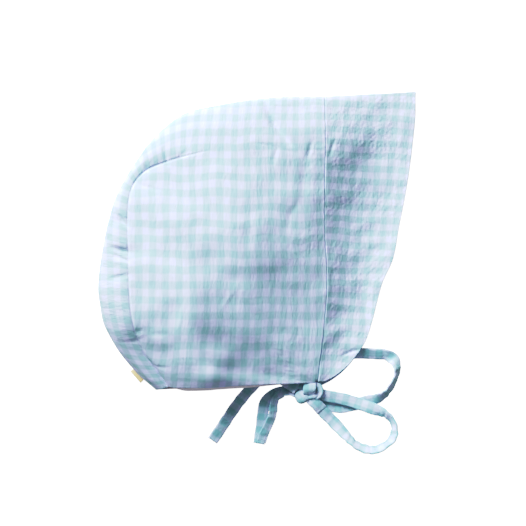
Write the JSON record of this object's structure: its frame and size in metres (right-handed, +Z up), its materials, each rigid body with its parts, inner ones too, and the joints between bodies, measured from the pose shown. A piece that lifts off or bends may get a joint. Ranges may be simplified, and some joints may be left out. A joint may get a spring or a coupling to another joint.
{
  "type": "baby sunbonnet",
  "caption": "Soft gingham bonnet lying on its side, with a gathered back strip, a doubled front brim, a plain lining and two ties in a bow.",
  "frame": {"origin": "middle of the bonnet's footprint without its ties, on the surface that it lies on", "axes": "+X from the back of the head to the brim, +Y from the nape and the chin to the crown, +Z up from the surface, out of the wearer's right side"},
  "size_m": [0.1978, 0.23, 0.0435],
  "materials": {
    "gingham": "matt crinkled cotton, pale mint and lavender-white check",
    "lining": "matt plain cotton",
    "tie": "matt cotton, the same check",
    "label": "plain woven tab"
  },
  "bodies": {
    "root": {"hood_shell": "gingham", "lining": "lining", "brim": "gingham", "label_tab": "label", "tie_upper": "tie", "tie_lower": "tie", "tie_loop_low": "tie", "tie_loop_high": "tie", "tie_end_long": "tie", "tie_end_short": "tie", "bow_knot": "tie"}
  },
  "joints": []
}
